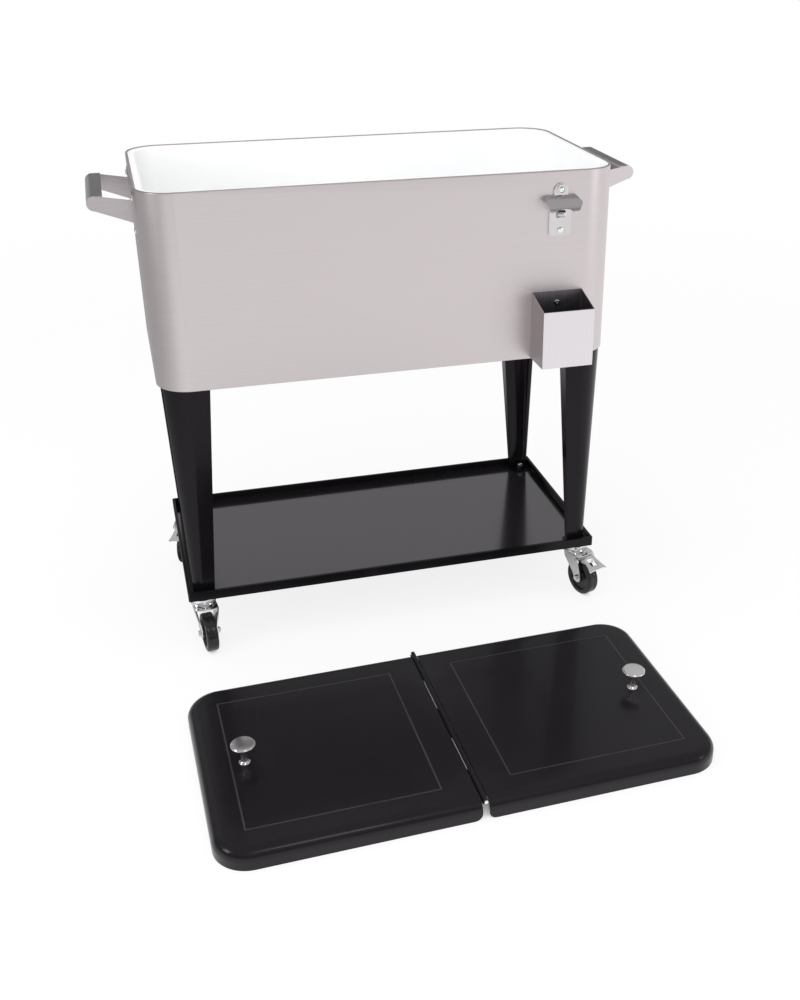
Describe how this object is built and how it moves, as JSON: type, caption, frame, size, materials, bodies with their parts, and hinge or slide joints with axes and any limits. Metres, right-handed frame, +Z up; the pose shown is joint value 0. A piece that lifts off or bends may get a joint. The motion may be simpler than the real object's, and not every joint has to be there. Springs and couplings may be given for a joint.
{
  "type": "wheeled patio cooler",
  "caption": "Insulated steel ice chest on a four-legged rolling stand with lower tray, swivel casters, end handles, bottle opener, cap catcher and a folding two-piece lid",
  "frame": {"origin": "on the floor, at the centre of the box round the cart and the lid lying in front of it", "axes": "+X along the tub to the right as seen from its front, +Y to the cart's back, +Z up"},
  "size_m": [0.899, 0.9475, 0.792],
  "materials": {
    "brushed_skin": "brushed stainless sheet",
    "handle_steel": "polished stainless sheet",
    "white_liner": "white moulded plastic",
    "foam": "rigid insulating foam",
    "white_fitting": "white moulded plastic",
    "leg_paint": "gloss black enamel",
    "tray_paint": "gloss black enamel",
    "lid_paint": "satin black powder coat",
    "cast_metal": "cast and plated metal",
    "black_pad": "black washer",
    "wheel_rubber": "hard black rubber",
    "caster_chrome": "bright plated steel",
    "knob_steel": "brushed and polished steel",
    "bright_screws": "plated steel hardware"
  },
  "bodies": {
    "cart": {"tub_shell": "brushed_skin", "base_panel": "brushed_skin", "foam_core": "foam", "liner": "white_liner", "drain_fitting": "white_fitting", "drain_nut": "white_fitting", "leg_fl": "leg_paint", "leg_fr": "leg_paint", "leg_bl": "leg_paint", "leg_br": "leg_paint", "leg_bolts": "bright_screws", "tray": "tray_paint", "handle_left": "handle_steel", "handle_right": "handle_steel", "handle_screws": "bright_screws", "opener": "cast_metal", "opener_screws": "bright_screws", "catcher": "brushed_skin", "catcher_screws": "bright_screws", "mount_pads": "black_pad", "stem_nuts": "bright_screws", "swivel_fl": "caster_chrome", "swivel_fr": "caster_chrome", "swivel_bl": "caster_chrome", "swivel_br": "caster_chrome"},
    "drain_cap": {"drain_cap": "white_fitting"},
    "caster_fl": {"fork_fl": "caster_chrome", "axle_fl": "bright_screws"},
    "wheel_fl": {"wheel_fl": "wheel_rubber"},
    "caster_fr": {"fork_fr": "caster_chrome", "axle_fr": "bright_screws", "brake_pin_fr": "bright_screws"},
    "wheel_fr": {"wheel_fr": "wheel_rubber"},
    "brake_fr": {"brake_fr": "caster_chrome"},
    "caster_bl": {"fork_bl": "caster_chrome", "axle_bl": "bright_screws", "brake_pin_bl": "bright_screws"},
    "wheel_bl": {"wheel_bl": "wheel_rubber"},
    "brake_bl": {"brake_bl": "caster_chrome"},
    "caster_br": {"fork_br": "caster_chrome", "axle_br": "bright_screws"},
    "wheel_br": {"wheel_br": "wheel_rubber"},
    "lid_left_half": {"lid_skin_left": "lid_paint", "lid_foam_left": "foam", "lid_pan_left": "white_liner", "hinge_leaf_left": "lid_paint", "hinge_pin": "bright_screws", "knob_left": "knob_steel", "knob_screw_left": "bright_screws"},
    "lid_right_half": {"lid_skin_right": "lid_paint", "lid_foam_right": "foam", "lid_pan_right": "white_liner", "hinge_leaf_right": "lid_paint", "knob_right": "knob_steel", "knob_screw_right": "bright_screws"}
  },
  "joints": [
    {"name": "drain_cap_turn", "type": "hinge", "parent": "cart", "child": "drain_cap", "pos_m": [-0.25, 0.27877, 0.457], "axis": [0, 0, 1], "continuous": true},
    {"name": "caster_fl_swivel", "type": "hinge", "parent": "cart", "child": "caster_fl", "pos_m": [-0.346, 0.11587, 0.0823], "axis": [0, 0, 1], "continuous": true},
    {"name": "wheel_fl_spin", "type": "hinge", "parent": "caster_fl", "child": "wheel_fl", "pos_m": [-0.34259, 0.08807, 0.034], "axis": [0.9925, 0.1219, 0], "continuous": true},
    {"name": "caster_fr_swivel", "type": "hinge", "parent": "cart", "child": "caster_fr", "pos_m": [0.346, 0.11587, 0.0823], "axis": [0, 0, 1], "continuous": true},
    {"name": "wheel_fr_spin", "type": "hinge", "parent": "caster_fr", "child": "wheel_fr", "pos_m": [0.35465, 0.08924, 0.034], "axis": [0.9511, 0.309, 0], "continuous": true},
    {"name": "brake_fr_press", "type": "hinge", "parent": "caster_fr", "child": "brake_fr", "pos_m": [0.35527, 0.08733, 0.0754], "axis": [0.9511, 0.309, 0], "range_deg": [0, 10]},
    {"name": "caster_bl_swivel", "type": "hinge", "parent": "cart", "child": "caster_bl", "pos_m": [-0.346, 0.44167, 0.0823], "axis": [0, 0, 1], "continuous": true},
    {"name": "wheel_bl_spin", "type": "hinge", "parent": "caster_bl", "child": "wheel_bl", "pos_m": [-0.35558, 0.41535, 0.034], "axis": [0.9397, -0.342, 0], "continuous": true},
    {"name": "brake_bl_press", "type": "hinge", "parent": "caster_bl", "child": "brake_bl", "pos_m": [-0.35626, 0.41347, 0.0754], "axis": [0.9397, -0.342, 0], "range_deg": [0, 10]},
    {"name": "caster_br_swivel", "type": "hinge", "parent": "cart", "child": "caster_br", "pos_m": [0.346, 0.44167, 0.0823], "axis": [0, 0, 1], "continuous": true},
    {"name": "wheel_br_spin", "type": "hinge", "parent": "caster_br", "child": "wheel_br", "pos_m": [0.34114, 0.41409, 0.034], "axis": [0.9848, -0.1736, 0], "continuous": true},
    {"name": "lid_lift", "type": "slide", "parent": "cart", "child": "lid_left_half", "axis": [0, 0, 1], "range_m": [0, 0.82]},
    {"name": "lid_fold", "type": "hinge", "parent": "lid_left_half", "child": "lid_right_half", "pos_m": [-0.012, -0.26723, 0.031], "axis": [0.0244, -0.9997, 0], "range_deg": [0, 165]}
  ]
}
